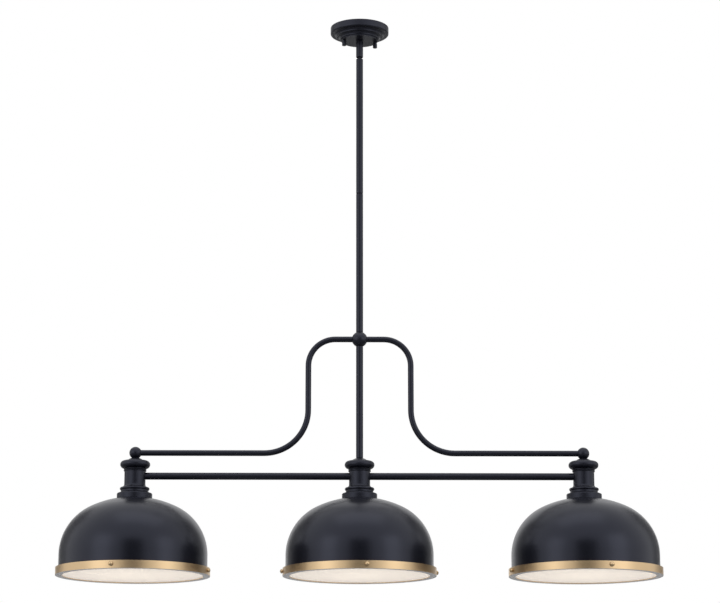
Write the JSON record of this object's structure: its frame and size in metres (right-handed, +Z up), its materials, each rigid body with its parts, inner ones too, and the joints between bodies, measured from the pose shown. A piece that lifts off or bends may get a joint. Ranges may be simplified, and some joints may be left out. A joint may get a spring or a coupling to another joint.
{
  "type": "linear island pendant",
  "caption": "Long ceiling pendant: domed metal shades with brass bezels and frosted diffusers on a slim bar, under a stem with scroll arms, swivel and stepped canopy.",
  "frame": {"origin": "the middle of the mounting strap on the ceiling plane, on the axis of the stem", "axes": "+Z up, out of the ceiling side; +X along the bar from the left shade to the right one; the front faces -Y"},
  "size_m": [1.274, 0.3322, 1.2086],
  "materials": {
    "black_coat": "satin black powder coat on steel, with a slight cast grain",
    "satin_brass": "satin brushed round the ring",
    "frosted_glass": "white frosted, lit from behind",
    "zinc_steel": "zinc plated",
    "green_screw": "green zinc, grounding screw",
    "porcelain": "white glaze",
    "bulb_glass": "white frosted",
    "lead_sheath": "matt",
    "connector_plastic": "moulded"
  },
  "bodies": {
    "base": {"mounting_strap": "zinc_steel", "canopy_studs": "zinc_steel", "stud_nuts": "zinc_steel", "ground_screw": "green_screw", "canopy": "black_coat", "canopy_locknut": "zinc_steel", "swivel_nipple": "zinc_steel", "seat_washer": "black_coat", "swivel_retainer": "zinc_steel", "canopy_leads": "lead_sheath", "wire_connectors": "connector_plastic"},
    "knob_left": {"canopy_knob_left": "black_coat"},
    "knob_right": {"canopy_knob_right": "black_coat"},
    "swivel": {"swivel_barrel": "black_coat", "pivot_pins": "black_coat"},
    "fixture": {"swivel_eye": "black_coat", "upper_rod": "black_coat", "middle_rod": "black_coat", "lower_rod": "black_coat", "rod_nipples": "zinc_steel", "ball_hub": "black_coat", "scroll_arm_left": "black_coat", "scroll_arm_right": "black_coat", "end_ball_left": "black_coat", "end_ball_right": "black_coat", "cap_left": "black_coat", "cap_centre": "black_coat", "cap_right": "black_coat", "neck_left": "black_coat", "neck_centre": "black_coat", "neck_right": "black_coat", "nipples_left": "zinc_steel", "nipples_centre": "zinc_steel", "nipples_right": "zinc_steel", "bar_left": "black_coat", "bar_right": "black_coat", "shade_left": "black_coat", "shade_centre": "black_coat", "shade_right": "black_coat", "shade_nut_left": "zinc_steel", "shade_nut_centre": "zinc_steel", "shade_nut_right": "zinc_steel", "lampholder_left": "porcelain", "lampholder_centre": "porcelain", "lampholder_right": "porcelain", "stem_lead": "lead_sheath", "branch_leads": "lead_sheath", "lead_splice": "connector_plastic"},
    "bezel_set_left": {"bezel_left": "satin_brass", "diffuser_left": "frosted_glass", "thumb_screws_left": "satin_brass"},
    "bezel_set_centre": {"bezel_centre": "satin_brass", "diffuser_centre": "frosted_glass", "thumb_screws_centre": "satin_brass"},
    "bezel_set_right": {"bezel_right": "satin_brass", "diffuser_right": "frosted_glass", "thumb_screws_right": "satin_brass"},
    "bulb_body_left": {"bulb_left": "bulb_glass"},
    "bulb_body_centre": {"bulb_centre": "bulb_glass"},
    "bulb_body_right": {"bulb_right": "bulb_glass"}
  },
  "joints": [
    {"name": "swivel_turn", "type": "hinge", "parent": "base", "child": "swivel", "pos_m": [0, 0, -0.0588], "axis": [0, 0, 1], "range_deg": [-170, 170]},
    {"name": "swivel_tilt", "type": "hinge", "parent": "swivel", "child": "fixture", "pos_m": [0, 0, -0.0588], "axis": [0, 1, 0], "range_deg": [-20, 20]},
    {"name": "knob_left_turn", "type": "hinge", "parent": "base", "child": "knob_left", "pos_m": [-0.03408, -0.00762, -0.036], "axis": [0, 0, 1], "continuous": true},
    {"name": "knob_right_turn", "type": "hinge", "parent": "base", "child": "knob_right", "pos_m": [0.03408, 0.00762, -0.036], "axis": [0, 0, 1], "continuous": true},
    {"name": "bezel_drop_left", "type": "slide", "parent": "fixture", "child": "bezel_set_left", "axis": [0, 0, -1], "range_m": [0, 0.12]},
    {"name": "bezel_drop_centre", "type": "slide", "parent": "fixture", "child": "bezel_set_centre", "axis": [0, 0, -1], "range_m": [0, 0.12]},
    {"name": "bezel_drop_right", "type": "slide", "parent": "fixture", "child": "bezel_set_right", "axis": [0, 0, -1], "range_m": [0, 0.12]},
    {"name": "bulb_turn_left", "type": "hinge", "parent": "fixture", "child": "bulb_body_left", "pos_m": [-0.4738, 0, -1.12], "axis": [0, 0, 1], "continuous": true},
    {"name": "bulb_turn_centre", "type": "hinge", "parent": "fixture", "child": "bulb_body_centre", "pos_m": [0, 0, -1.12], "axis": [0, 0, 1], "continuous": true},
    {"name": "bulb_turn_right", "type": "hinge", "parent": "fixture", "child": "bulb_body_right", "pos_m": [0.4738, 0, -1.12], "axis": [0, 0, 1], "continuous": true}
  ]
}
